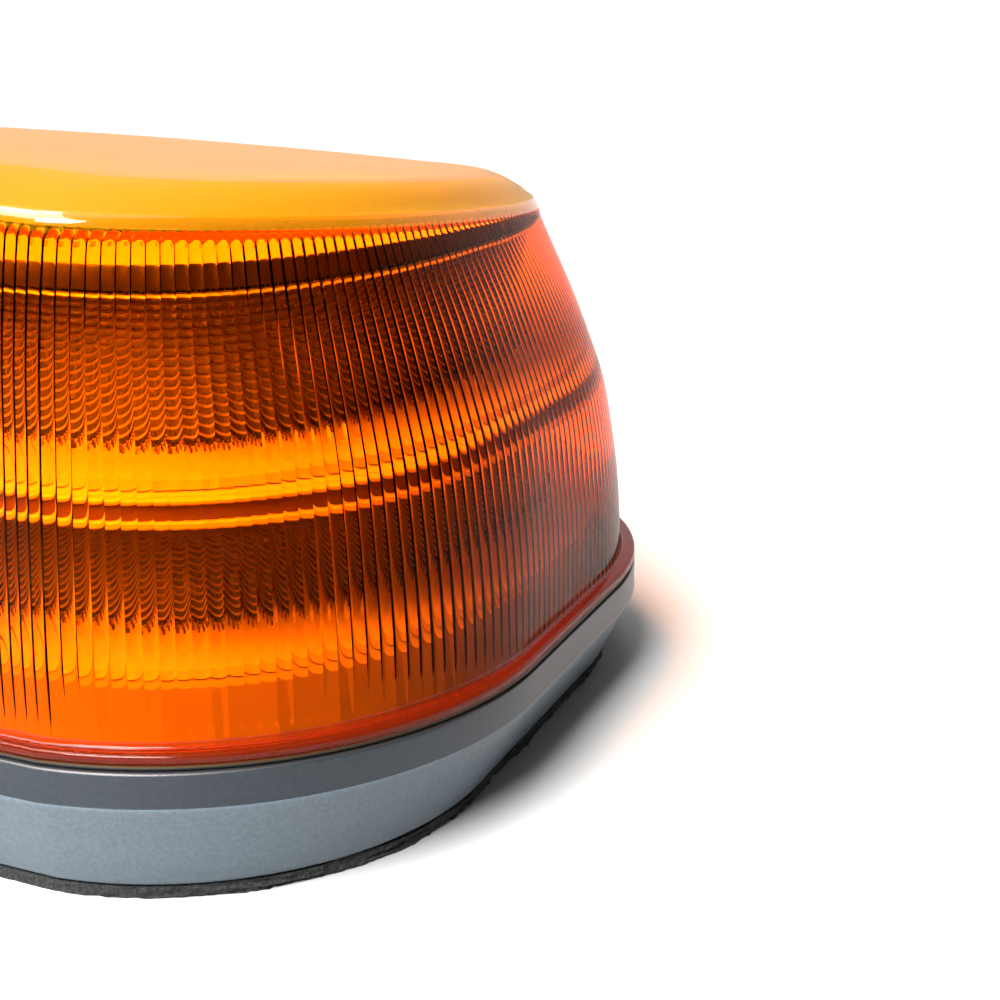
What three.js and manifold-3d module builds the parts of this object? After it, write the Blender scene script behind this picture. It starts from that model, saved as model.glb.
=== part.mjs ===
// LED mini lightbar: a grey base on a foam pad, and a deep amber lens over two tiers of
// LED strips and stepped reflectors. Millimetres, +Z up, origin at the middle of the pad's
// underside, +X along the bar.
import * as THREE from 'three';
import { mergeVertices } from 'three/addons/utils/BufferGeometryUtils.js';
import Module from 'manifold-3d';

const wasm = await Module();
wasm.setup();

// ---- Driving dimensions ----
const MIDDLE_LENGTH = 264;        // straight stretch between the two rounded ends
const END_REACH = 58.1;           // how far each rounded end runs past the straight stretch
const WIDTH = 178;                // across the lens flange
const KINK = 7 * Math.PI / 180;   // angle of the vertical crease where an end begins
const ARC_STEPS = 7;              // facets on each rounded corner
const GAP = 0.3;                  // clearance between touching pieces

const PAD_THICK = 2.3;
const BASE_BOTTOM = PAD_THICK + GAP;
const BASE_FLOOR = 4.0;           // thickness of the base's floor
const BASE_BAND = 17.8;           // height of the line between the base's two bands
const BASE_TOP = 24.0;
const SEAL_THICK = 0.7;
const RIM = BASE_TOP + GAP + SEAL_THICK + GAP;  // underside of the lens flange
const LENS_WALL = 3.0;
const FLANGE_THICK = 1.7;

const CARRIER_Z = RIM + 3.7;      // underside of the plate that carries the lower tier
const PLATE_THICK = 2.0;
const STRIP_THICK = 1.6;
const LOWER_LIP = 58.2;           // top of the lower reflector
const MID_PLATE_THICK = 5.0;
const UPPER_LIP = 94.2;           // top of the upper reflector
const TIER_INSET = 19;            // tier edge, measured in from the lens flange
const UPPER_LIP_INSET = 25.5;     // the upper reflector stays clear of the leaning lens
const TIER_END_SHIFT = -1;        // the tiers reach a little nearer to the lens at the ends
const TIER_DEPTH = 54;            // how far a tier's corners curve inwards
const FOOT_INSET = 42;            // foot of each reflector
const LED_INSET = 33;             // row of LEDs on each strip
const SKIRT_LOW = 19;             // bottom of the carrier tray's skirt, inside the base

const CORNER_DEPTH = 66;          // how far the lens's corners curve inwards at the rim
const CORNER_GROWTH = 0.164;      // how much rounder they get with each millimetre of height
const ROOF_CROWN_RADIUS = 2040;   // lengthwise curve of the roof
const ROOF_END_FALL = 0.03;       // slope of the roof over the rounded ends
const ROOF_TILT = 0.06;           // the roof falls slightly towards the rear
const BEND_START = 20;            // height above the rim where the roof's bend begins
const BEND_HEIGHT = 60;
const POST_RADIUS = 4.8;          // lens posts that the lens screws bite into
const SCREW_RADIUS = 1.9;
const SCREW_HOLE = 2.3;
const WIRE_HOLE = 7;

const HALF_MIDDLE = MIDDLE_LENGTH / 2;
const HALF_WIDTH = WIDTH / 2;
const FLOOR_TOP = BASE_BOTTOM + BASE_FLOOR;

// ---- Materials ----
const finish = (color, roughness, metalness = 0) =>
  new THREE.MeshStandardMaterial({ color, roughness, metalness });
const amber = new THREE.MeshStandardMaterial(
  { color: 0xff7a10, roughness: 0.12, transparent: true, opacity: 0.55 });
const slate = finish(0x66727c, 0.55);
const foam = finish(0x111213, 0.95);
const rubber = finish(0x161616, 0.8);
const steel = finish(0xb9bcc0, 0.3, 1);
const aluminium = finish(0xc9ccd0, 0.35, 1);
const mirror = finish(0xe8e8ea, 0.08, 1);
const white = finish(0xe9e9e4, 0.5);
const board = finish(0x1f6b46, 0.5);
const black = finish(0x1b1c1e, 0.5);
const brass = finish(0xc8a257, 0.35, 1);
const wire = finish(0xb02a20, 0.5);

// ---- Geometry helpers ----

// Position-only closed mesh with its shared vertices merged.
function weld(geometry) {
  const bare = geometry.index ? geometry.toNonIndexed() : geometry.clone();
  bare.deleteAttribute('normal');
  bare.deleteAttribute('uv');
  return mergeVertices(bare, 1e-4);
}

function toSolid(geometry) {
  const welded = weld(geometry);
  return new wasm.Manifold(new wasm.Mesh({
    numProp: 3,
    vertProperties: new Float32Array(welded.attributes.position.array),
    triVerts: new Uint32Array(welded.index.array),
  }));
}

function toGeometry(solid) {
  const mesh = solid.getMesh();
  const geometry = new THREE.BufferGeometry();
  geometry.setAttribute('position', new THREE.BufferAttribute(mesh.vertProperties, 3));
  geometry.setIndex(new THREE.BufferAttribute(mesh.triVerts, 1));
  geometry.computeVertexNormals();
  return geometry;
}

function cut(body, ...tools) {
  return tools.reduce((left, tool) => left.subtract(toSolid(tool)), body);
}

function join(body, ...extras) {
  return extras.reduce((whole, extra) => whole.add(toSolid(extra)), body);
}

function rod(radius, low, high, x = 0, y = 0, sides = 16) {
  const geometry = new THREE.CylinderGeometry(radius, radius, high - low, sides);
  geometry.rotateX(Math.PI / 2);
  geometry.translate(x, y, (low + high) / 2);
  return geometry;
}

function block(sizeX, sizeY, low, high, x = 0, y = 0) {
  const geometry = new THREE.BoxGeometry(sizeX, sizeY, high - low);
  geometry.translate(x, y, (low + high) / 2);
  return geometry;
}

// Plan outline, counter-clockwise: straight sides, a crease, and a quarter arc at each corner.
// cornerDepth is how far the arcs run inwards from the sides: by default they are round.
function outline(frontInset, endInset, cornerDepth = 0) {
  const reachX = END_REACH - endInset;
  const arcX = reachX / (1 - Math.sin(KINK));
  const depth = HALF_WIDTH - frontInset;
  const arcY = Math.min(cornerDepth || arcX, depth / Math.cos(KINK));
  const quarter = [];
  for (let step = 0; step <= ARC_STEPS; step += 1) {
    const angle = KINK + (Math.PI / 2 - KINK) * step / ARC_STEPS;
    const x = HALF_MIDDLE + arcX * (Math.sin(angle) - Math.sin(KINK));
    const y = depth - arcY * (Math.cos(KINK) - Math.cos(angle));
    quarter.push([x, y]);
  }
  const half = HALF_MIDDLE / 2;
  const rightFront = [[half, depth], ...quarter].map(([x, y]) => new THREE.Vector2(x, -y));
  const rightRear = [[half, depth], ...quarter].map(([x, y]) => new THREE.Vector2(x, y)).reverse();
  const leftRear = [[0, depth], [-half, depth], ...quarter.map(([x, y]) => [-x, y])]
    .map(([x, y]) => new THREE.Vector2(x, y));
  const leftFront = leftRear.map((p) => new THREE.Vector2(p.x, -p.y)).reverse();
  return [...rightFront, ...rightRear, ...leftRear, ...leftFront];
}

const rimPlan = (inset) => outline(inset, inset);
const tierPlan = (inset) => outline(inset, inset + TIER_END_SHIFT, TIER_DEPTH);

// Closed body from outlines stacked upwards: levels are [z, frontInset, endInset, cornerDepth],
// and lift(x, y, z) bends a level out of its plane.
function loft(levels, lift = () => 0) {
  const rings = levels.map(([z, front, end, depth]) =>
    outline(front, end, depth).map((p) => [p.x, p.y, z + lift(p.x, p.y, z)]));
  const count = rings[0].length;
  const triangles = [];
  for (let level = 0; level + 1 < rings.length; level += 1) {
    for (let i = 0; i < count; i += 1) {
      const j = (i + 1) % count;
      const [a, b] = [rings[level][i], rings[level][j]];
      const [c, d] = [rings[level + 1][j], rings[level + 1][i]];
      triangles.push(a, b, c, a, c, d);
    }
  }
  const lidFaces = (ring) => THREE.ShapeUtils.triangulateShape(
    ring.map((p) => new THREE.Vector2(p[0], p[1])), []);
  const bottom = rings[0];
  for (const [a, b, c] of lidFaces(bottom)) triangles.push(bottom[a], bottom[c], bottom[b]);
  const top = rings[rings.length - 1];
  for (const [a, b, c] of lidFaces(top)) triangles.push(top[a], top[b], top[c]);
  const geometry = new THREE.BufferGeometry();
  geometry.setAttribute('position', new THREE.Float32BufferAttribute(triangles.flat(), 3));
  return mergeVertices(geometry, 1e-4);
}

// Ring that follows a plan outline; profile is a closed loop of [inset, z].
function ringAlong(profile, plan = rimPlan) {
  const section = profile.map(([inset, z]) => new THREE.Vector2(inset, z));
  if (!THREE.ShapeUtils.isClockWise(section)) section.reverse();
  const loops = section.map((s) => plan(s.x).map((p) => [p.x, p.y, s.y]));
  const count = loops[0].length;
  const triangles = [];
  for (let k = 0; k < loops.length; k += 1) {
    const next = loops[(k + 1) % loops.length];
    for (let i = 0; i < count; i += 1) {
      const j = (i + 1) % count;
      triangles.push(loops[k][i], loops[k][j], next[j], loops[k][i], next[j], next[i]);
    }
  }
  const geometry = new THREE.BufferGeometry();
  geometry.setAttribute('position', new THREE.Float32BufferAttribute(triangles.flat(), 3));
  return mergeVertices(geometry, 1e-4);
}

const assembly = new THREE.Group();

function place(name, geometry, material, x = 0, y = 0, z = 0) {
  const mesh = new THREE.Mesh(geometry, material);
  mesh.name = name;
  mesh.position.set(x, y, z);
  assembly.add(mesh);
}

const corners = (x, y) => [[x, -y], [x, y], [-x, y], [-x, -y]];

// ---- Places of the fasteners ----
const LENS_SCREW_PLACES = [-100, 0, 100].flatMap((x) => [[x, -78.5], [x, 78.5]]);
const INSERT_PLACES = corners(85, 48);
const PILLAR_PLACES = corners(110, 25);
const CABLE_PLACE = [-30, 0];
const VENT_PLACE = [30, 30];
const SCREW_HEAD_TOP = 8.0;
const INSERT_TOP = 15.0;
const DRIVER_BOARD_Z = 12.0;

// ---- Casing ----

function makeFoamPad() {
  let pad = toSolid(loft([[0, 3.5, 9.0], [PAD_THICK, 3.2, 8.7]]));
  for (const [x, y] of LENS_SCREW_PLACES) pad = cut(pad, rod(5.2, -1, 4, x, y));
  for (const [x, y] of INSERT_PLACES) pad = cut(pad, rod(8, -1, 4, x, y));
  return toGeometry(cut(pad, rod(11, -1, 4, ...CABLE_PLACE), rod(7, -1, 4, ...VENT_PLACE)));
}

function makeBase() {
  const wall = 3.0;
  let base = toSolid(loft([
    [BASE_BOTTOM, 3.5, 9.0],
    [BASE_BOTTOM + 0.9, 2.5, 8.0],
    [BASE_BAND, -0.9, 0.2],
    [BASE_BAND + 0.6, -0.6, 0.2],
    [BASE_TOP, -0.3, 0.0],
  ]));
  base = base.subtract(toSolid(loft([
    [FLOOR_TOP, 2.5 + wall, 8.0 + wall],
    [BASE_BAND, wall, wall + 0.2],
    [BASE_TOP + 1, wall, wall],
  ])));
  for (const [x, y] of LENS_SCREW_PLACES) {
    base = join(base, rod(5, FLOOR_TOP - 1, BASE_TOP - 0.2, x, y));
  }
  for (const [x, y] of INSERT_PLACES) base = join(base, rod(9, FLOOR_TOP - 1, INSERT_TOP + 2, x, y));
  for (const [x, y] of corners(55, 22)) {
    base = join(base, rod(3, FLOOR_TOP - 1, DRIVER_BOARD_Z - GAP, x, y, 12));
  }
  for (const [x, y] of LENS_SCREW_PLACES) {
    base = cut(base, rod(4.5, 0, SCREW_HEAD_TOP + GAP, x, y), rod(2.3, 5, 30, x, y, 12));
  }
  for (const [x, y] of INSERT_PLACES) base = cut(base, rod(6.3, 0, INSERT_TOP + GAP, x, y));
  return toGeometry(cut(base, rod(6.3, 0, 9, ...CABLE_PLACE), rod(4.3, 0, 9, ...VENT_PLACE)));
}

function makeSeal() {
  const low = BASE_TOP + GAP;
  const high = low + SEAL_THICK;
  return ringAlong([[0.6, low], [0.6, high], [2.6, high], [2.6, low]]);
}

// Height taken off the roof at a plan position, more towards the ends and the rear.
function roofDrop(x, y) {
  const past = Math.max(Math.abs(x) - HALF_MIDDLE, 0);
  const inner = Math.min(Math.abs(x), HALF_MIDDLE);
  const crown = (inner * inner - HALF_MIDDLE * HALF_MIDDLE) / (2 * ROOF_CROWN_RADIUS);
  return crown + ROOF_END_FALL * past + ROOF_TILT * (y + HALF_WIDTH);
}

// One level of the lens wall, height measured from the rim.
const wallLevel = (height, front, end) =>
  [RIM + height, front, end, CORNER_DEPTH + CORNER_GROWTH * Math.max(height, 0)];

function makeLens() {
  const bend = (x, y, z) =>
    -roofDrop(x, y) * THREE.MathUtils.clamp((z - RIM - BEND_START) / BEND_HEIGHT, 0, 1);
  const outside = loft([
    wallLevel(0, 0, 0),
    wallLevel(FLANGE_THICK - 0.4, 0, 0),
    wallLevel(FLANGE_THICK, 0.4, 0.4),
    wallLevel(FLANGE_THICK, 2.6, 2.4),
    wallLevel(20, 3.4, 2.8),
    wallLevel(40, 5.0, 4.6),
    wallLevel(50, 6.0, 7.0),
    wallLevel(60, 7.0, 10.2),
    wallLevel(67, 8.0, 12.8),
    wallLevel(74, 9.2, 15.6),
    wallLevel(79, 10.0, 17.6),
    wallLevel(82, 10.9, 18.8),
    wallLevel(84, 13.2, 21.0),
    [RIM + 89.2, 30.8, 25.5, 58],
    [RIM + 90.4, 55, 38, 33],
    [RIM + 90.8, 80, 50, 9],
  ], bend);
  const w = LENS_WALL;
  const inside = loft([
    wallLevel(-1, 2.6 + w, 2.4 + w),
    wallLevel(20, 3.4 + w, 2.8 + w),
    wallLevel(40, 5.0 + w, 4.6 + w),
    wallLevel(50, 6.0 + w, 7.0 + w),
    wallLevel(60, 7.0 + w, 10.2 + w),
    wallLevel(67, 8.0 + w, 12.8 + w),
    wallLevel(74, 9.2 + w, 15.6 + w),
    wallLevel(78, 10.4 + w, 18.0 + w),
    wallLevel(80.4, 12.6 + w, 20.4 + w),
    [RIM + 86.0, 31.5, 28.5, 56],
    [RIM + 87.3, 55, 40, 32],
    [RIM + 87.7, 80, 51, 8.5],
  ], bend);
  let lens = toSolid(outside).subtract(toSolid(inside));
  for (const [x, y] of LENS_SCREW_PLACES) lens = join(lens, rod(POST_RADIUS, RIM, RIM + 14, x, y));
  for (const [x, y] of LENS_SCREW_PLACES) {
    lens = cut(lens, rod(SCREW_HOLE, RIM - 1, RIM + 11, x, y, 12));
  }
  return toGeometry(lens);
}

function makeLensScrew() {
  const head = toSolid(rod(3.9, 5.0, SCREW_HEAD_TOP, 0, 0));
  const screw = join(head, rod(SCREW_RADIUS, SCREW_HEAD_TOP - 1, RIM + 9.5, 0, 0, 10));
  return toGeometry(cut(screw, rod(1.6, 4, 6.6, 0, 0, 6)));
}

function makeInsert() {
  const body = toSolid(rod(6, BASE_BOTTOM, INSERT_TOP, 0, 0, 6));
  return toGeometry(cut(body, rod(3.4, 0, 13, 0, 0, 16)));
}

function makeGrommet() {
  const plug = toSolid(rod(6, BASE_BOTTOM, FLOOR_TOP + 1, 0, 0));
  const body = join(plug, rod(8.5, FLOOR_TOP + GAP, FLOOR_TOP + 2, 0, 0));
  return toGeometry(cut(body, rod(3.5, 0, 12, 0, 0, 16)));
}

function makeVent() {
  return toGeometry(join(toSolid(rod(4, BASE_BOTTOM + 0.4, FLOOR_TOP + 1, 0, 0)),
    rod(6, FLOOR_TOP + GAP, FLOOR_TOP + 3, 0, 0, 12)));
}

place('foam_pad', makeFoamPad(), foam);
place('base_housing', makeBase(), slate);
place('lens_seal', makeSeal(), rubber);
place('lens_dome', makeLens(), amber);
LENS_SCREW_PLACES.forEach(([x, y], i) => place(`lens_screw_${i + 1}`, makeLensScrew(), steel, x, y));
INSERT_PLACES.forEach(([x, y], i) => place(`mounting_insert_${i + 1}`, makeInsert(), brass, x, y));
place('cable_grommet', makeGrommet(), rubber, ...CABLE_PLACE);
place('breather_vent', makeVent(), black, ...VENT_PLACE);

// ---- Tiers ----

const LOWER_STRIP_Z = CARRIER_Z + PLATE_THICK + GAP;
const MID_PLATE_Z = LOWER_LIP + GAP;
const UPPER_STRIP_Z = MID_PLATE_Z + MID_PLATE_THICK + GAP;
const TOP_PLATE_Z = UPPER_LIP + GAP;

const makeSlab = (low, high, inset) => {
  const end = inset + TIER_END_SHIFT;
  return loft([[low, inset, end, TIER_DEPTH], [high, inset, end, TIER_DEPTH]]);
};

function pierce(plate, low, high) {
  let pierced = plate;
  for (const [x, y] of PILLAR_PLACES) {
    pierced = cut(pierced, rod(SCREW_HOLE, low - 1, high + 1, x, y, 12));
  }
  return cut(pierced, rod(WIRE_HOLE, low - 1, high + 1, 40, 0));
}

function makePlate(low, thick, inset) {
  const slab = toSolid(makeSlab(low, low + thick, inset));
  return toGeometry(pierce(slab, low, low + thick));
}

// Carrier tray: a plate with a skirt turned down round its edge.
function makeCarrier() {
  const top = CARRIER_Z + PLATE_THICK;
  const skirt = toSolid(makeSlab(SKIRT_LOW, top, TIER_INSET - 1.5));
  const hollow = makeSlab(SKIRT_LOW - 1, CARRIER_Z, TIER_INSET);
  return toGeometry(pierce(cut(skirt, hollow), CARRIER_Z, top));
}

// Stepped metallised reflector: foot at the LEDs' inner side, curving up and out to its lip.
function makeReflector(foot, lip, lipInset) {
  const steps = 5;
  const thick = 1.5;
  const face = [];
  for (let step = 0; step <= steps; step += 1) {
    const share = step / steps;
    const inset = FOOT_INSET - (FOOT_INSET - lipInset) * Math.pow(share, 2);
    face.push([inset, foot + (lip - foot) * (1 - Math.pow(1 - share, 1.4))]);
  }
  const back = face.map(([inset, z]) => [inset + thick, z]).reverse();
  return ringAlong([...face, ...back], tierPlan);
}

// LED strips: an aluminium-backed board along one side or around one end, with its LEDs.
function makeStrip(low, side) {
  const outer = TIER_INSET + 1.5;
  const inner = FOOT_INSET - 1.5;
  const top = low + STRIP_THICK;
  const section = [[outer, low], [inner, low], [inner, top], [outer, top]];
  const span = MIDDLE_LENGTH - 40;
  const isEnd = side === 'left' || side === 'right';
  const sign = side === 'right' || side === 'rear' ? 1 : -1;
  const keep = isEnd
    ? block(100, WIDTH, low - 1, top + 1, sign * (span / 2 + 50.5), 0)
    : block(span - 1, HALF_WIDTH, low - 1, top + 1, 0, sign * HALF_WIDTH / 2);
  let strip = toSolid(ringAlong(section, tierPlan)).intersect(toSolid(keep));
  const spots = isEnd ? endLedSpots(sign) : SIDE_LED_X.map((x) => [x, sign * (HALF_WIDTH - LED_INSET)]);
  for (const [x, y] of spots) strip = join(strip, makeLed(x, y, top));
  return toGeometry(strip);
}

const SIDE_LED_X = [-100, -60, -20, 20, 60, 100];

// LED places on an end strip: one on each rounded corner and one on the flat end.
function endLedSpots(sign) {
  const corner = tierPlan(LED_INSET)[1 + Math.ceil(ARC_STEPS / 2)];
  const endX = HALF_MIDDLE + END_REACH - LED_INSET - TIER_END_SHIFT;
  return [[sign * corner.x, corner.y], [sign * corner.x, -corner.y], [sign * endX, 0]];
}

function makeLed(x, y, top) {
  const profile = [[0, -0.2], [3, -0.2], [3, 0.8], [2.4, 0.8], [1.9, 1.6], [1, 2.2], [0, 2.4]];
  const dome = new THREE.LatheGeometry(profile.map(([r, h]) => new THREE.Vector2(r, h)), 10);
  dome.rotateX(Math.PI / 2);
  dome.translate(x, y, top);
  return dome;
}

place('carrier_plate', makeCarrier(), aluminium);
place('mid_plate', makePlate(MID_PLATE_Z, MID_PLATE_THICK, TIER_INSET - 1), white);
place('top_plate', makePlate(TOP_PLATE_Z, PLATE_THICK, UPPER_LIP_INSET + 3), black);
for (const [tier, low] of [['lower', LOWER_STRIP_Z], ['upper', UPPER_STRIP_Z]]) {
  for (const side of ['front', 'rear', 'left', 'right']) {
    place(`${tier}_led_strip_${side}`, makeStrip(low, side), white);
  }
}
place('lower_reflector', makeReflector(LOWER_STRIP_Z, LOWER_LIP, TIER_INSET), mirror);
place('upper_reflector', makeReflector(UPPER_STRIP_Z, UPPER_LIP, UPPER_LIP_INSET), mirror);

// ---- Pillars and their screws ----
const PILLAR_SPANS = {
  base_pillar: [FLOOR_TOP + GAP, CARRIER_Z - GAP],
  lower_spacer: [LOWER_STRIP_Z, LOWER_LIP],
  upper_spacer: [UPPER_STRIP_Z, UPPER_LIP],
};
for (const [name, [low, high]] of Object.entries(PILLAR_SPANS)) {
  PILLAR_PLACES.forEach(([x, y], i) => {
    place(`${name}_${i + 1}`, rod(4, low, high, 0, 0, 6), aluminium, x, y);
  });
}

function makeTieScrew() {
  const headLow = TOP_PLATE_Z + PLATE_THICK + GAP;
  const screw = join(toSolid(rod(3.8, headLow, headLow + 2.4, 0, 0)),
    rod(SCREW_RADIUS, UPPER_LIP + GAP, headLow + 1, 0, 0, 10));
  return toGeometry(screw);
}
PILLAR_PLACES.forEach(([x, y], i) => place(`tie_screw_${i + 1}`, makeTieScrew(), steel, x, y));

// ---- Driver electronics ----
const BOARD_TOP = DRIVER_BOARD_Z + STRIP_THICK;
const WIRE_RADIUS = 1.3;

// Feed cable: up from its connector, through the plates' wire hole, to its tier.
function makeTierCable(side, high) {
  const low = BOARD_TOP + 6.2;
  const path = new THREE.CatmullRomCurve3([
    new THREE.Vector3(30, side * 6, low),
    new THREE.Vector3(30, side * 6, low + 2),
    new THREE.Vector3(33, side * 5, low + 5.5),
    new THREE.Vector3(36.5, side * 3, CARRIER_Z + 1),
    new THREE.Vector3(38, side * 2.5, CARRIER_Z + 8),
    new THREE.Vector3(38, side * 2.5, high),
  ]);
  const circle = new THREE.EllipseCurve(0, 0, WIRE_RADIUS, WIRE_RADIUS, 0, Math.PI * 2);
  const section = new THREE.Shape(circle.getPoints(8).slice(0, 8));
  return weld(new THREE.ExtrudeGeometry(section, { steps: 14, extrudePath: path }));
}

place('driver_board', toGeometry(toSolid(block(124, 56, DRIVER_BOARD_Z, BOARD_TOP))), board);
place('input_terminal', block(14, 10, BOARD_TOP + GAP, BOARD_TOP + 9, -48, 0), board);
place('filter_choke', rod(8, BOARD_TOP + GAP, BOARD_TOP + 8, -22, 14, 20), black);
place('input_capacitor', rod(5, BOARD_TOP + GAP, BOARD_TOP + 11, -22, -14, 16), black);
place('regulator_heatsink', block(26, 14, BOARD_TOP + GAP, BOARD_TOP + 9, 8, 14), aluminium);
place('pattern_controller', block(10, 10, BOARD_TOP + GAP, BOARD_TOP + 2, 10, -12), black);
place('tier_connector_lower', block(9, 7, BOARD_TOP + GAP, BOARD_TOP + 5.6, 30, 6), white);
place('tier_connector_upper', block(9, 7, BOARD_TOP + GAP, BOARD_TOP + 5.6, 30, -6), white);
place('tier_cable_lower', makeTierCable(1, LOWER_STRIP_Z + 9), wire);
place('tier_cable_upper', makeTierCable(-1, UPPER_STRIP_Z + 6), wire);

export default assembly;
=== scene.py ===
"""Amber LED mini lightbar: the looks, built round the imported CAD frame. Metres, +Z up."""
import math

import bmesh
import bpy
import numpy as np
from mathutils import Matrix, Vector


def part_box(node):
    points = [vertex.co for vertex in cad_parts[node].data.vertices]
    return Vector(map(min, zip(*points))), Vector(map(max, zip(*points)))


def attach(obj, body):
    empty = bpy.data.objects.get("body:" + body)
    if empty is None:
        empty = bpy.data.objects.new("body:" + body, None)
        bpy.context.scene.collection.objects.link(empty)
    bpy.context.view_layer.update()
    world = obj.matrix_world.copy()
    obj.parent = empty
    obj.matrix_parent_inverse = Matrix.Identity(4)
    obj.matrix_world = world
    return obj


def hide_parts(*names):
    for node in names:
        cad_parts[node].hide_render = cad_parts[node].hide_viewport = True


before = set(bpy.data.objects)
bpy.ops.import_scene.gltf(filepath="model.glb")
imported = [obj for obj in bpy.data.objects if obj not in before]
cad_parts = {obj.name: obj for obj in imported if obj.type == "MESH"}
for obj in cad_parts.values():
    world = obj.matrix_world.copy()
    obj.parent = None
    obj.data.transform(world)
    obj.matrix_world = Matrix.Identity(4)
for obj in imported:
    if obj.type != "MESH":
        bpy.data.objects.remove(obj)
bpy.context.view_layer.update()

MM = 0.001

# ---- Driving dimensions, in millimetres as in the CAD ----
HALF_MIDDLE = 132.0       # half of the straight stretch between the rounded ends
END_REACH = 58.1          # how far each rounded end runs past it
HALF_WIDTH = 89.0         # across the lens flange
KINK = math.radians(7)    # angle of the vertical crease where an end begins
CORNER_DEPTH = 66.0
CORNER_GROWTH = 0.164
TIER_DEPTH = 54.0
TIER_END_SHIFT = -1.0
CROWN_RADIUS = 2040.0
END_FALL = 0.03
ROOF_TILT = 0.06
BEND_START = 20.0
BEND_HEIGHT = 60.0
WALL = 3.0

SIDE_FLUTES = 120         # flutes on each straight side
CORNER_FLUTES = 43        # flutes from a crease to the middle of an end
FLUTE_STEPS = 8           # points across one flute
FLUTE_DEPTH = 0.40
OUTER_STEPS = 2           # points on the outer face for each flute


def low(node):
    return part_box(node)[0].z / MM


def high(node):
    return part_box(node)[1].z / MM


RIM = low("lens_dome")


# ---- Plan outlines ----

def corner_curve(front, end, depth, steps):
    """Evenly spaced points from the crease to the middle of an end, in the +X +Y quarter."""
    arc_x = (END_REACH - end) / (1 - math.sin(KINK))
    deep = HALF_WIDTH - front
    arc_y = min(depth or arc_x, deep / math.cos(KINK))
    angle = np.linspace(KINK, math.pi / 2, 120)
    x = HALF_MIDDLE + arc_x * (np.sin(angle) - math.sin(KINK))
    y = deep - arc_y * (math.cos(KINK) - np.cos(angle))
    x = np.append(x, x[-1])
    y = np.append(y, 0.0)
    run = np.concatenate([[0], np.cumsum(np.hypot(np.diff(x), np.diff(y)))])
    even = np.linspace(0, run[-1], steps + 1)
    return np.interp(even, run, x), np.interp(even, run, y)


def plan_ring(front, end, depth, side_steps, corner_steps):
    """Closed plan outline, counter-clockwise from the left front crease."""
    deep = HALF_WIDTH - front
    side = np.linspace(-HALF_MIDDLE, HALF_MIDDLE, side_steps + 1)
    x, y = corner_curve(front, end, depth, corner_steps)
    back_x, back_y = x[::-1], y[::-1]
    runs = [
        (side[:-1], np.full(side_steps, -deep)),
        (x[:-1], -y[:-1]),
        (back_x[:-1], back_y[:-1]),
        (-side[:-1], np.full(side_steps, deep)),
        (-x[:-1], y[:-1]),
        (-back_x[:-1], -back_y[:-1]),
    ]
    return np.column_stack([np.concatenate([r[0] for r in runs]),
                            np.concatenate([r[1] for r in runs])])


def crease_columns(side_steps, corner_steps):
    right = side_steps
    rear = side_steps + 2 * corner_steps
    left = 2 * side_steps + 2 * corner_steps
    return {0, right, rear, left}


def roof_drop(x, y):
    """Height taken off the roof at a plan position, more towards the ends and the rear."""
    past = np.maximum(np.abs(x) - HALF_MIDDLE, 0)
    inner = np.minimum(np.abs(x), HALF_MIDDLE)
    crown = (inner ** 2 - HALF_MIDDLE ** 2) / (2 * CROWN_RADIUS)
    return crown + END_FALL * past + ROOF_TILT * (y + HALF_WIDTH)


def lens_ring(row, side_steps, corner_steps):
    height, front, end, depth = row[:4]
    plan = plan_ring(front, end, depth, side_steps, corner_steps)
    bend = min(max((height - BEND_START) / BEND_HEIGHT, 0), 1)
    z = RIM + height - roof_drop(plan[:, 0], plan[:, 1]) * bend
    return np.column_stack([plan, z])


def flat_ring(z, front, end, depth, side_steps=24, corner_steps=28):
    plan = plan_ring(front, end, depth, side_steps, corner_steps)
    return np.column_stack([plan, np.full(len(plan), z)])


# ---- Mesh helpers ----

def new_object(name, bm, materials, smooth=True):
    mesh = bpy.data.meshes.new(name)
    bm.to_mesh(mesh)
    bm.free()
    for material in materials:
        mesh.materials.append(material)
    if smooth:
        mesh.shade_smooth()
    piece = bpy.data.objects.new(name, mesh)
    bpy.context.scene.collection.objects.link(piece)
    return piece


def add_rings(bm, rings, finishes=None, close=False, sharp_columns=()):
    """Quads between rings of equal length. finishes gives each band's material index."""
    rows = [[bm.verts.new(Vector(p) * MM) for p in ring] for ring in rings]
    count = len(rows[0])
    pairs = list(zip(rows, rows[1:] + rows[:1])) if close else list(zip(rows, rows[1:]))
    for band, (a, b) in enumerate(pairs):
        for i in range(count):
            j = (i + 1) % count
            face = bm.faces.new((a[i], a[j], b[j], b[i]))
            if finishes is not None:
                face.material_index = finishes[band]
    for a, b in pairs:
        for i in sharp_columns:
            edge = bm.edges.get((a[i], b[i]))
            if edge:
                edge.smooth = False
    return rows


def catmull(rows, steps):
    """Smooth rows through the given ones."""
    points = np.array(rows, float)
    padded = np.vstack([2 * points[0] - points[1], points, 2 * points[-1] - points[-2]])
    out = []
    for k in range(1, len(padded) - 2):
        p0, p1, p2, p3 = padded[k - 1:k + 3]
        for step in range(steps):
            t = step / steps
            out.append(0.5 * (2 * p1 + (p2 - p0) * t + (2 * p0 - 5 * p1 + 4 * p2 - p3) * t ** 2
                              + (3 * p1 - p0 - 3 * p2 + p3) * t ** 3))
    out.append(points[-1])
    return [tuple(p) for p in out]


def bezier(a, b, c, steps):
    """Rows rounding the corner b between a and c, both ends left out."""
    a, b, c = (np.array(p, float) for p in (a, b, c))
    share = [k / steps for k in range(1, steps)]
    return [tuple((1 - t) ** 2 * a + 2 * t * (1 - t) * b + t * t * c) for t in share]


def wall_row(height, front, end):
    return (height, front, end, CORNER_DEPTH + CORNER_GROWTH * max(height, 0))


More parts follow.
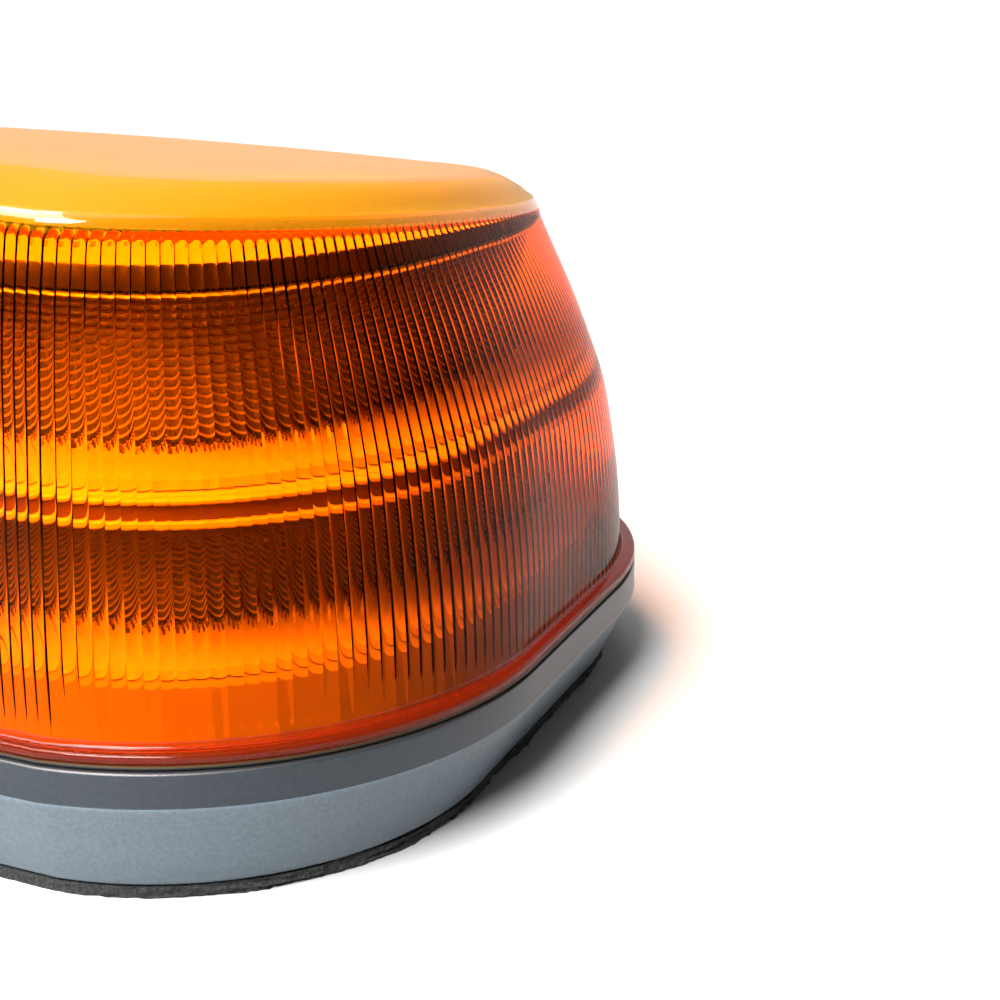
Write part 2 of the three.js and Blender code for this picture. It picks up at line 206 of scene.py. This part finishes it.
def set_sharp_by_angle(piece, degrees):
    piece.data.set_sharp_from_angle(angle=math.radians(degrees))


# ---- Material helpers ----

def new_material(name, color, roughness, metallic=0.0, **sockets):
    material = bpy.data.materials.new(name)
    material.use_nodes = True
    shader = material.node_tree.nodes["Principled BSDF"]
    shader.inputs["Base Color"].default_value = (*color, 1)
    shader.inputs["Roughness"].default_value = roughness
    shader.inputs["Metallic"].default_value = metallic
    for socket, value in sockets.items():
        shader.inputs[socket.replace("_", " ")].default_value = value
    return material


def noise(material, scale, detail=4.0, stretch=(1, 1, 1)):
    nodes, links = material.node_tree.nodes, material.node_tree.links
    where = nodes.new("ShaderNodeTexCoord")
    spread = nodes.new("ShaderNodeMapping")
    spread.inputs["Scale"].default_value = stretch
    texture = nodes.new("ShaderNodeTexNoise")
    texture.inputs["Scale"].default_value = scale
    texture.inputs["Detail"].default_value = detail
    links.new(where.outputs["Object"], spread.inputs["Vector"])
    links.new(spread.outputs["Vector"], texture.inputs["Vector"])
    return texture.outputs["Fac"]


def ramp(material, source, *stops):
    """Colour ramp from source; stops are (position, colour)."""
    nodes, links = material.node_tree.nodes, material.node_tree.links
    band = nodes.new("ShaderNodeValToRGB")
    points = band.color_ramp.elements
    while len(points) < len(stops):
        points.new(0.5)
    for point, (position, color) in zip(points, stops):
        point.position = position
        point.color = (*color, 1)
    links.new(source, band.inputs["Fac"])
    return band.outputs["Color"]


def vary_color(material, source, dark, light):
    shader = material.node_tree.nodes["Principled BSDF"]
    color = ramp(material, source, (0.35, dark), (0.65, light))
    material.node_tree.links.new(color, shader.inputs["Base Color"])


def vary_roughness(material, source, least, most):
    nodes, links = material.node_tree.nodes, material.node_tree.links
    span = nodes.new("ShaderNodeMapRange")
    span.inputs["From Min"].default_value = 0.3
    span.inputs["From Max"].default_value = 0.7
    span.inputs["To Min"].default_value = least
    span.inputs["To Max"].default_value = most
    links.new(source, span.inputs["Value"])
    links.new(span.outputs["Result"], nodes["Principled BSDF"].inputs["Roughness"])


def bump(material, source, strength, distance):
    nodes, links = material.node_tree.nodes, material.node_tree.links
    relief = nodes.new("ShaderNodeBump")
    relief.inputs["Strength"].default_value = strength
    relief.inputs["Distance"].default_value = distance
    links.new(source, relief.inputs["Height"])
    links.new(relief.outputs["Normal"], nodes["Principled BSDF"].inputs["Normal"])


def soften_reflections(material, share, color, roughness):
    """Trade a share of the shader for plain refraction, which mirrors nothing."""
    nodes, links = material.node_tree.nodes, material.node_tree.links
    clear = nodes.new("ShaderNodeBsdfRefraction")
    clear.inputs["Color"].default_value = (*[math.sqrt(c) for c in color], 1)
    clear.inputs["Roughness"].default_value = roughness
    clear.inputs["IOR"].default_value = LENS_IOR
    mix = nodes.new("ShaderNodeMixShader")
    mix.inputs["Fac"].default_value = share
    links.new(nodes["Principled BSDF"].outputs["BSDF"], mix.inputs[1])
    links.new(clear.outputs["BSDF"], mix.inputs[2])
    return mix.outputs["Shader"]


def let_lamps_through(material, tint, surface):
    """Shadow rays pass through the plastic with its tint, so the tiers inside are lit."""
    nodes, links = material.node_tree.nodes, material.node_tree.links
    output = nodes["Material Output"]
    clear = nodes.new("ShaderNodeBsdfTransparent")
    clear.inputs["Color"].default_value = (*tint, 1)
    path = nodes.new("ShaderNodeLightPath")
    mix = nodes.new("ShaderNodeMixShader")
    links.new(path.outputs["Is Shadow Ray"], mix.inputs["Fac"])
    links.new(surface, mix.inputs[1])
    links.new(clear.outputs["BSDF"], mix.inputs[2])
    links.new(mix.outputs["Shader"], output.inputs["Surface"])


# ---- Materials ----
AMBER = (1.0, 0.29, 0.002)
AMBER_SHADOW = (0.97, 0.70, 0.24)
WARM_SHEEN = (0.6, 0.2, 0.07)
LENS_IOR = 1.36


def lens_material(name, roughness, grain, transmission=1.0, color=AMBER, sheen=WARM_SHEEN,
                  clear_share=0.0, ior=LENS_IOR):
    material = new_material(name, color, roughness, IOR=ior, Transmission_Weight=transmission,
                            Specular_Tint=(*sheen, 1))
    if grain:
        bump(material, noise(material, 900, 3), grain, 0.0002)
    vary_roughness(material, noise(material, 60), max(roughness - 0.01, 0), roughness + 0.01)
    surface = material.node_tree.nodes["Principled BSDF"].outputs["BSDF"]
    if clear_share:
        surface = soften_reflections(material, clear_share, color, roughness)
    let_lamps_through(material, AMBER_SHADOW, surface)
    return material


lens_wall = lens_material("lens_wall", 0.015, 0, clear_share=0.65)
# Painted light: the roof band and panel get lighter, yellower copies of the amber for the light
# falling through the roof.
lens_band_painted_light = lens_material("lens_band_painted_light", 0.34, 0.25, 0.80, (1.0, 0.46, 0.003), ior=1.2)
lens_panel_painted_light = lens_material("lens_panel_painted_light", 0.42, 0.3, 0.82, (0.95, 0.42, 0.10), (0.9, 0.8, 0.6))
lens_shoulder = lens_material("lens_shoulder", 0.10, 0, 0.72, (1.0, 0.34, 0.005), (1.0, 1.0, 1.0))
lens_inside = lens_material("lens_inside", 0.03, 0, clear_share=0.65)
# Painted shade: the flange gets a darker copy of the amber.
lens_flange_painted_shade = lens_material("lens_flange_painted_shade", 0.10, 0, 0.85, (0.55, 0.06, 0.01), (1.0, 1.0, 1.0),
                            clear_share=0.45)


# ---- Lens ----

def outer_rows():
    flange = [wall_row(0, 0, 0), wall_row(1.15, 0, 0), wall_row(1.5, 0.12, 0.12),
              wall_row(1.65, 0.5, 0.5), wall_row(1.65, 1.8, 1.8)]
    foot = bezier(wall_row(1.65, 1.8, 1.8), wall_row(1.7, 2.55, 2.35), wall_row(2.8, 2.6, 2.4), 4)
    wall = catmull([
        wall_row(2.8, 2.6, 2.4), wall_row(20, 3.4, 2.8), wall_row(40, 5.0, 4.6),
        wall_row(50, 6.0, 7.0), wall_row(60, 7.0, 10.2), wall_row(67, 8.0, 12.8),
        wall_row(74, 9.2, 15.6), wall_row(79, 10.1, 17.6), wall_row(82.2, 10.8, 18.6)], 4)
    shoulder = bezier(wall[-1], (84.0, 11.2, 19.1, 79), (84.7, 13.6, 20.4, 77), 7)
    band = [(84.7, 13.6, 20.4, 77), (86.2, 18.2, 21.4, 72), (87.7, 23.6, 23.2, 66)]
    edge = bezier(band[-1], (89.1, 29.2, 25.2, 60), (89.5, 33.5, 27.2, 56), 6)
    panel = [(89.5, 33.5, 27.2, 56), (90.0, 44, 32, 46), (90.5, 58, 39, 32), (90.8, 76, 49, 14),
             (90.85, 89, 58.1, 0.01)]
    rows = flange + foot + wall + shoulder + band + edge + panel
    frost_start = len(flange + foot + wall) + 4
    panel_start = len(flange + foot + wall + shoulder + band) + 2
    flange_end = len(flange + foot)
    shoulder_start = len(flange + foot + wall) - 1
    finishes = [4 if k < flange_end else 0 if k < shoulder_start else 5 if k < frost_start
                else 1 if k < panel_start else 2 for k in range(len(rows) - 1)]
    return rows, finishes


def inner_rows():
    wall = catmull([
        wall_row(0, 2.6 + WALL, 2.4 + WALL), wall_row(20, 3.4 + WALL, 2.8 + WALL),
        wall_row(40, 5.0 + WALL, 4.6 + WALL), wall_row(50, 6.0 + WALL, 7.0 + WALL),
        wall_row(60, 7.0 + WALL, 10.2 + WALL), wall_row(67, 8.0 + WALL, 12.8 + WALL),
        wall_row(74, 9.2 + WALL, 15.6 + WALL), wall_row(79.4, 10.3 + WALL, 17.8 + WALL)], 3)
    shoulder = bezier(wall[-1], (81.0, 14.0, 21.6, 78), (82.0, 16.6, 22.8, 74), 4)
    roof = [(82.0, 16.6, 22.8, 74), (86.0, 31.5, 28.5, 56), (87.3, 55, 40, 32),
            (87.7, 80, 51, 9), (87.75, 89, 58.1, 0.01)]
    rows = wall + shoulder + roof
    finishes = [0 if k < len(wall) else 3 for k in range(len(rows) - 1)]
    return rows, finishes


def flute_profile():
    """Height of one flute at each of its points: a shallow rounded rib."""
    share = np.arange(FLUTE_STEPS) / FLUTE_STEPS
    return 4 * share * (1 - share)


def fluted_ring(row):
    """Inner wall outline with its flutes standing inwards."""
    height, front, end, depth = row
    steps = (SIDE_FLUTES * FLUTE_STEPS, CORNER_FLUTES * FLUTE_STEPS)
    smooth = lens_ring(row, *steps)
    further = lens_ring((height, front + 1, end + 1, depth), *steps)
    fade = min(max((height - 0.6) / 1.5, 0), 1) * min(max((81.4 - height) / 2.0, 0), 1)
    fade *= 1 + 0.7 * min(max((height - 66) / 8, 0), 1)
    profile = np.tile(flute_profile(), len(smooth) // FLUTE_STEPS)
    offset = (further - smooth) * (profile * FLUTE_DEPTH * fade)[:, None]
    offset[:, 2] = 0
    return smooth + offset


def make_lens():
    bm = bmesh.new()
    outer_steps = (SIDE_FLUTES * OUTER_STEPS, CORNER_FLUTES * OUTER_STEPS)
    rows, finishes = outer_rows()
    outer = add_rings(bm, [lens_ring(r, *outer_steps) for r in rows], finishes,
                      sharp_columns=crease_columns(*outer_steps))
    rows, finishes = inner_rows()
    rings = [fluted_ring(r) for r in rows]
    inner = add_rings(bm, rings, finishes, sharp_columns=range(0, len(rings[0]), FLUTE_STEPS))
    ratio = FLUTE_STEPS // OUTER_STEPS
    count = len(outer[0])
    for i in range(count):
        j = (i + 1) % count
        arc = [inner[0][(i * ratio + k) % len(inner[0])] for k in range(ratio + 1)]
        bm.faces.new([outer[0][j], outer[0][i]] + arc).material_index = 4
    bmesh.ops.remove_doubles(bm, verts=outer[-1] + inner[-1], dist=0.00002)
    bmesh.ops.recalc_face_normals(bm, faces=bm.faces)
    return new_object("lens_shell", bm, 
                      [lens_wall, lens_band_painted_light, lens_panel_painted_light, lens_inside, lens_flange_painted_shade,
                       lens_shoulder])


lens = make_lens()
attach(lens, "root")
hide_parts("lens_dome")


# ---- Seal ----
rubber = new_material("black_rubber", (0.012, 0.012, 0.013), 0.6)
bump(rubber, noise(rubber, 700), 0.2, 0.0002)


def make_ring(name, profile, materials, plan, smooth_angle=35, finishes=None):
    """Closed ring along a plan; profile is a loop of (inset, z)."""
    bm = bmesh.new()
    add_rings(bm, [flat_ring(z, *plan(inset)) for inset, z in profile], finishes, close=True)
    bmesh.ops.recalc_face_normals(bm, faces=bm.faces)
    piece = new_object(name, bm, materials)
    set_sharp_by_angle(piece, smooth_angle)
    return piece


def rim_plan(inset):
    return inset, inset, CORNER_DEPTH


def tier_plan(inset):
    return inset, inset + TIER_END_SHIFT, TIER_DEPTH


seal_low, seal_high = low("lens_seal"), high("lens_seal")
seal = make_ring("seal_ring", [(0.5, seal_low), (0.35, seal_low + 0.35), (0.5, seal_high),
                               (2.8, seal_high), (2.8, seal_low)], [rubber], rim_plan)
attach(seal, "root")
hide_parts("lens_seal")


# ---- Base ----
slate = new_material("slate_plastic", (0.075, 0.097, 0.113), 0.45)
vary_color(slate, noise(slate, 1500, 3), (0.060, 0.081, 0.098), (0.077, 0.102, 0.121))
vary_roughness(slate, noise(slate, 700), 0.42, 0.5)
bump(slate, noise(slate, 2200, 2), 0.12, 0.0002)

# Painted shade: a darker copy of the slate plastic for the base's upper band, which faces the dark
# room.
slate_painted_shade = new_material("slate_plastic_painted_shade", (0.022, 0.030, 0.037), 0.4)
vary_color(slate_painted_shade, noise(slate_painted_shade, 1500, 3), (0.011, 0.015, 0.019), (0.015, 0.020, 0.026))
bump(slate_painted_shade, noise(slate_painted_shade, 2200, 2), 0.12, 0.0002)

BASE_LOW = low("base_housing")
BASE_HIGH = high("base_housing")
BAND_LINE = 17.8
PAD_LOW = low("foam_pad")
PAD_HIGH = high("foam_pad")


def centre(node):
    lower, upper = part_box(node)
    return ((lower.x + upper.x) / 2 / MM, (lower.y + upper.y) / 2 / MM)


screws = [f"lens_screw_{k}" for k in range(1, 7)]
inserts = [f"mounting_insert_{k}" for k in range(1, 5)]


def cylinder_cutter(name, holes, bottom, top, sides=48):
    """One object of round rods: holes are (x, y, radius)."""
    bm = bmesh.new()
    for x, y, radius in holes:
        made = bmesh.ops.create_cone(bm, cap_ends=True, segments=sides, radius1=radius * MM,
                                     radius2=radius * MM, depth=(top - bottom) * MM)
        bmesh.ops.translate(bm, verts=made["verts"],
                            vec=Vector((x, y, (top + bottom) / 2)) * MM)
    return new_object(name, bm, [], smooth=False)


def drill(piece, cutter):
    cutting = piece.modifiers.new("drill", "BOOLEAN")
    cutting.operation = "DIFFERENCE"
    cutting.solver = "EXACT"
    cutting.object = cutter
    with bpy.context.temp_override(object=piece, active_object=piece):
        bpy.ops.object.modifier_apply(modifier="drill")
    bpy.data.objects.remove(cutter)


def base_outer_ring(z, front, end):
    return flat_ring(z, front, end, 0, 60, 44)


def make_base():
    bm = bmesh.new()
    floor_top = BASE_LOW + 4
    rows = [
        (BASE_LOW, 3.7, 9.2), (BASE_LOW + 0.12, 3.2, 8.7), (BASE_LOW + 0.5, 2.75, 8.25),
        (BASE_LOW + 0.9, 2.5, 8.0), (BASE_LOW + 6, 1.4, 5.3), (BASE_LOW + 11, 0.2, 2.7),
        (BAND_LINE - 0.35, -0.85, 0.3), (BAND_LINE, -0.88, 0.18), (BAND_LINE + 0.35, -0.75, 0.2),
        (BAND_LINE + 0.6, -0.6, 0.2), (BASE_HIGH - 0.5, -0.32, 0.02), (BASE_HIGH - 0.12, -0.15, 0.15),
        (BASE_HIGH, 0.2, 0.5), (BASE_HIGH, 2.9, 2.9), (BAND_LINE, 3.1, 3.3),
        (floor_top + 2, 5.0, 10.4), (floor_top, 6.5, 12),
    ]
    rings = [base_outer_ring(*r) for r in rows]
    # Bands 8 to 12, the upper band of the base, take the darker slate as painted shade.
    finishes = [1 if 8 <= k <= 12 else 0 for k in range(len(rows) - 1)]
    made = add_rings(bm, rings, finishes, sharp_columns=crease_columns(60, 44))
    bm.faces.new(list(reversed(made[0])))
    bm.faces.new(made[-1])
    bmesh.ops.recalc_face_normals(bm, faces=bm.faces)
    piece = new_object("base_shell", bm, [slate, slate_painted_shade])
    holes = [(*centre(n), 4.5) for n in screws] + [(*centre(n), 6.15) for n in inserts]
    holes += [(*centre("cable_grommet"), 6.3), (*centre("breather_vent"), 4.3)]
    drill(piece, cylinder_cutter("cutter", holes, 0, floor_top + 5))
    set_sharp_by_angle(piece, 50)
    return piece


base = make_base()
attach(base, "root")
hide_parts("base_housing")


# ---- Foam pad ----
foam = new_material("black_foam", (0.012, 0.012, 0.012), 0.95)
vary_color(foam, noise(foam, 1400, 3), (0.006, 0.006, 0.006), (0.028, 0.028, 0.028))
bump(foam, noise(foam, 1800, 4), 0.9, 0.0006)


def make_pad():
    """Cut foam: its side face is uneven, and its top and bottom are flat."""
    rng = np.random.default_rng(7)
    bm = bmesh.new()
    layers = 5
    rings = []
    for k in range(layers + 1):
        share = k / layers
        ring = flat_ring(PAD_LOW + (PAD_HIGH - PAD_LOW) * share, 3.5 - 0.3 * share, 9 - 0.3 * share,
                         0, 200, 110)
        rough = rng.normal(0, 0.11, len(ring))
        smooth = np.convolve(np.tile(rng.normal(0, 0.5, len(ring)), 3), np.ones(9) / 9, "same")
        out = 1 + (rough + smooth[len(ring):2 * len(ring)]) / 140
        ring[:, :2] *= out[:, None]
        rings.append(ring)
    made = add_rings(bm, rings)
    bm.faces.new(list(reversed(made[0])))
    bm.faces.new(made[-1])
    bmesh.ops.recalc_face_normals(bm, faces=bm.faces)
    piece = new_object("pad_foam", bm, [foam])
    holes = [(*centre(n), 5.2) for n in screws] + [(*centre(n), 8) for n in inserts]
    holes += [(*centre("cable_grommet"), 11), (*centre("breather_vent"), 7)]
    drill(piece, cylinder_cutter("cutter", holes, -1, PAD_HIGH + 1))
    set_sharp_by_angle(piece, 40)
    return piece


pad = make_pad()
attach(pad, "root")
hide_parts("foam_pad")


# ---- Tiers ----
mirror = new_material("metallised_plastic", (0.16, 0.15, 0.135), 0.25, 0.6)
vary_roughness(mirror, noise(mirror, 120), 0.2, 0.32)
# Painted highlight: the ledge on top of each shingle gets a lighter copy of the metallised plastic.
ledge = new_material("ledge_painted_highlight", (0.42, 0.40, 0.36), 0.35, 0.3)
vary_roughness(ledge, noise(ledge, 300), 0.3, 0.42)
white = new_material("white_board", (0.82, 0.81, 0.76), 0.35)
vary_color(white, noise(white, 200), (0.58, 0.55, 0.48), (0.70, 0.68, 0.62))
milk = new_material("milky_plate", (0.85, 0.84, 0.78), 0.3, Transmission_Weight=0.25)
bump(milk, noise(milk, 400), 0.1, 0.0002)
dark = new_material("black_moulded_plastic", (0.012, 0.012, 0.013), 0.45)
bump(dark, noise(dark, 900), 0.3, 0.0002)
tray_white = new_material("tray_finish", (0.34, 0.33, 0.31), 0.4, 0.2)
vary_roughness(tray_white, noise(tray_white, 150), 0.3, 0.5)

FOOT_INSET = 42.0


def reflector_profile(foot, lip, lip_inset, steps):
    """Parabola cut into fine shingles, each topped by a narrow ledge, and its smooth back."""
    def inset_at(rise):
        return FOOT_INSET - (FOOT_INSET - lip_inset) * (1 - (1 - rise) ** 0.714) ** 2

    step = (lip - foot) / steps
    face = []
    for k in range(steps):
        face.append((inset_at(k / steps), foot + k * step))
        face.append((inset_at((k + 1) / steps) - 0.5, foot + (k + 0.8) * step))
    face.append((lip_inset, lip))
    back = [(inset_at(rise) + 1.8, foot + rise * (lip - foot))
            for rise in (1, 0.97, 0.9, 0.75, 0.5, 0.25, 0)]
    return face + back


SHINGLES = 17

for tier, lip_inset in (("lower", 19.0), ("upper", 25.5)):
    node = f"{tier}_reflector"
    profile = reflector_profile(low(node), high(node), lip_inset, SHINGLES)
    painted_highlight_bands = [1 if k % 2 and k < 2 * SHINGLES else 0 for k in range(len(profile))]
    reflector = make_ring(f"{tier}_stepped_reflector", profile, [mirror, ledge], tier_plan,
                          smooth_angle=25, finishes=painted_highlight_bands)
    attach(reflector, "root")
    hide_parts(node)

# Raised black rim round the top plate.
rim_low, rim_high = low("top_plate"), high("top_plate") + 2
rim = make_ring("top_plate_rim", [(28.2, rim_low), (27.5, rim_low), (27.5, rim_high - 0.3),
                                  (27.7, rim_high), (28.2, rim_high)], [dark], tier_plan)
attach(rim, "root")

# Two bright lips run round the mid plate's edge with a groove between them.
# Painted shade: the groove gets a dark brown colour for the shade between the two lips.
groove = new_material("groove_painted_shade", (0.10, 0.06, 0.04), 0.5)
bump(groove, noise(groove, 600), 0.2, 0.0002)
edge_low, edge_high = low("mid_plate"), high("mid_plate")


def make_edge(name, profile, material):
    piece = make_ring(name, profile, [material], tier_plan)
    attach(piece, "root")


def lip_profile(bottom, top):
    return [(18, bottom), (16.6, bottom), (16.3, bottom + 0.3), (16.3, top - 0.3), (16.6, top),
            (18, top)]


make_edge("mid_plate_lower_lip", lip_profile(edge_low, edge_low + 1.3), white)
make_edge("mid_plate_groove", [(18, edge_low + 1.35), (17.2, edge_low + 1.35),
                               (17.2, edge_high - 1.05), (18, edge_high - 1.05)], groove)
make_edge("mid_plate_upper_lip", lip_profile(edge_high - 1, edge_high), white)

# Two rows of small parts at the back of each LED deck; their dark brown colour also paints the shade
# that the reflector overhang casts there.
chip_brown_and_painted_shade = new_material("chip_package_and_painted_shade", (0.10, 0.045, 0.02), 0.3)
vary_color(chip_brown_and_painted_shade, noise(chip_brown_and_painted_shade, 300), (0.05, 0.02, 0.01), (0.30, 0.16, 0.07))


def make_chips(name, deck):
    bm = bmesh.new()
    for inset, width, depth, tall, side_count, corner_count in (
            (37.6, 1.5, 1.2, 0.7, 60, 13), (39.7, 1.1, 1.5, 1.0, 60, 13)):
        plan = plan_ring(*tier_plan(inset), side_count, corner_count)
        for here, there in zip(plan, np.roll(plan, -1, axis=0)):
            along = Vector((*(there - here), 0)).normalized()
            across = Vector((-along.y, along.x, 0))
            centre_point = Vector((*(here + there) / 2, deck + tall / 2))
            made = bmesh.ops.create_cube(bm, size=1)["verts"]
            for vert in made:
                offset = along * vert.co.x * width + across * vert.co.y * depth
                vert.co = (centre_point + offset + Vector((0, 0, vert.co.z * tall))) * MM
    piece = new_object(name, bm, [chip_brown_and_painted_shade], smooth=False)
    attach(piece, "root")


for tier in ("lower", "upper"):
    make_chips(f"{tier}_deck_parts", high(f"{tier}_led_strip_front") - 2.4)

KEEP = {"carrier_plate": tray_white, "mid_plate": milk, "top_plate": white}
for tier in ("lower", "upper"):
    for side in ("front", "rear", "left", "right"):
        KEEP[f"{tier}_led_strip_{side}"] = white
steel = new_material("zinc_steel", (0.62, 0.63, 0.64), 0.3, 1.0)
vary_roughness(steel, noise(steel, 300), 0.22, 0.4)
aluminium = new_material("milled_aluminium", (0.72, 0.73, 0.74), 0.35, 1.0)
vary_roughness(aluminium, noise(aluminium, 200, 4, (1, 1, 12)), 0.28, 0.45)
brass = new_material("turned_brass", (0.70, 0.50, 0.22), 0.28, 1.0)
vary_roughness(brass, noise(brass, 250), 0.2, 0.36)
green = new_material("solder_mask", (0.02, 0.14, 0.07), 0.35)
vary_color(green, noise(green, 120), (0.015, 0.11, 0.055), (0.03, 0.18, 0.09))
wire = new_material("wire_jacket", (0.35, 0.02, 0.015), 0.45)
bump(wire, noise(wire, 500), 0.1, 0.0002)
pale = new_material("white_connector", (0.75, 0.74, 0.70), 0.45)
bump(pale, noise(pale, 500), 0.1, 0.0002)
BY_PREFIX = [
    ("lens_screw", steel), ("tie_screw", steel), ("mounting_insert", brass),
    ("cable_grommet", rubber), ("breather_vent", dark), ("base_pillar", aluminium),
    ("lower_spacer", aluminium), ("upper_spacer", aluminium), ("regulator", aluminium),
    ("driver_board", green), ("input_terminal", green), ("filter_choke", dark),
    ("input_capacitor", dark), ("pattern_controller", dark), ("tier_connector", pale),
    ("tier_cable", wire),
]


def finish_node(node):
    material = KEEP.get(node)
    for prefix, finish in BY_PREFIX:
        if node.startswith(prefix):
            material = finish
    if material is None:
        return
    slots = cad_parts[node].data.materials
    slots.clear()
    slots.append(material)


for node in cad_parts:
    finish_node(node)


# ---- Stage, light and camera ----
def make_floor():
    bm = bmesh.new()
    bmesh.ops.create_grid(bm, x_segments=2, y_segments=2, size=6)
    paper = new_material("studio_floor", (0.42, 0.42, 0.42), 0.8)
    vary_color(paper, noise(paper, 3), (0.416, 0.416, 0.416), (0.424, 0.424, 0.424))
    floor = new_object("studio_floor", bm, [paper], smooth=False)


def softbox(name, place, target, width, height, power, color=(1, 1, 1)):
    lamp = bpy.data.lights.new(name, "AREA")
    lamp.shape = "RECTANGLE"
    lamp.size, lamp.size_y = width, height
    lamp.energy = power
    lamp.color = color
    holder = bpy.data.objects.new(name, lamp)
    holder.location = place
    holder.rotation_euler = (Vector(target) - Vector(place)).to_track_quat("-Z", "Y").to_euler()
    bpy.context.scene.collection.objects.link(holder)


def make_world():
    """White studio behind and above the object, dark room in front of it."""
    world = bpy.data.worlds.new("studio")
    world.use_nodes = True
    nodes, links = world.node_tree.nodes, world.node_tree.links
    where = nodes.new("ShaderNodeTexCoord")
    lean = nodes.new("ShaderNodeVectorMath")
    lean.operation = "DOT_PRODUCT"
    lean.inputs[1].default_value = (0.0, 1.0, -0.35)
    span = nodes.new("ShaderNodeMapRange")
    span.inputs["From Min"].default_value = 0.35
    span.inputs["From Max"].default_value = 0.75
    span.inputs["To Min"].default_value = DARK_ROOM
    span.inputs["To Max"].default_value = WHITE_ROOM
    nodes["Background"].inputs["Color"].default_value = (1, 1, 1, 1)
    links.new(where.outputs["Generated"], lean.inputs[0])
    links.new(lean.outputs["Value"], span.inputs["Value"])
    links.new(span.outputs["Result"], nodes["Background"].inputs["Strength"])
    bpy.context.scene.world = world


def add_sun(name, direction, strength, spread):
    lamp = bpy.data.lights.new(name, "SUN")
    lamp.energy = strength
    lamp.angle = math.radians(spread)
    holder = bpy.data.objects.new(name, lamp)
    holder.rotation_euler = Vector(direction).to_track_quat("-Z", "Y").to_euler()
    bpy.context.scene.collection.objects.link(holder)


DARK_ROOM, WHITE_ROOM = 0.06, 1.05
make_floor()
make_world()
middle = (0.05, 0, 0.06)
add_sun("top_light", (0.30, -0.12, -1), 1.2, 50)
add_sun("front_light", (0.10, 0.72, -0.80), 9.0, 30)
softbox("strip", (-0.33, -0.27, 0.90), (0.12, -0.07, 0.10), 1.0, 0.6, 34)

camera = bpy.data.cameras.new("camera")
camera.sensor_width = 36
camera.lens = 56.88
camera.clip_start = 0.01
eye = bpy.data.objects.new("camera", camera)
eye.location = (0.2860, -0.2678, 0.1350)
eye.rotation_euler = (math.radians(73.27), 0, math.radians(22.78))
bpy.context.scene.collection.objects.link(eye)
bpy.context.scene.camera = eye
bpy.context.scene.view_settings.view_transform = "Standard"
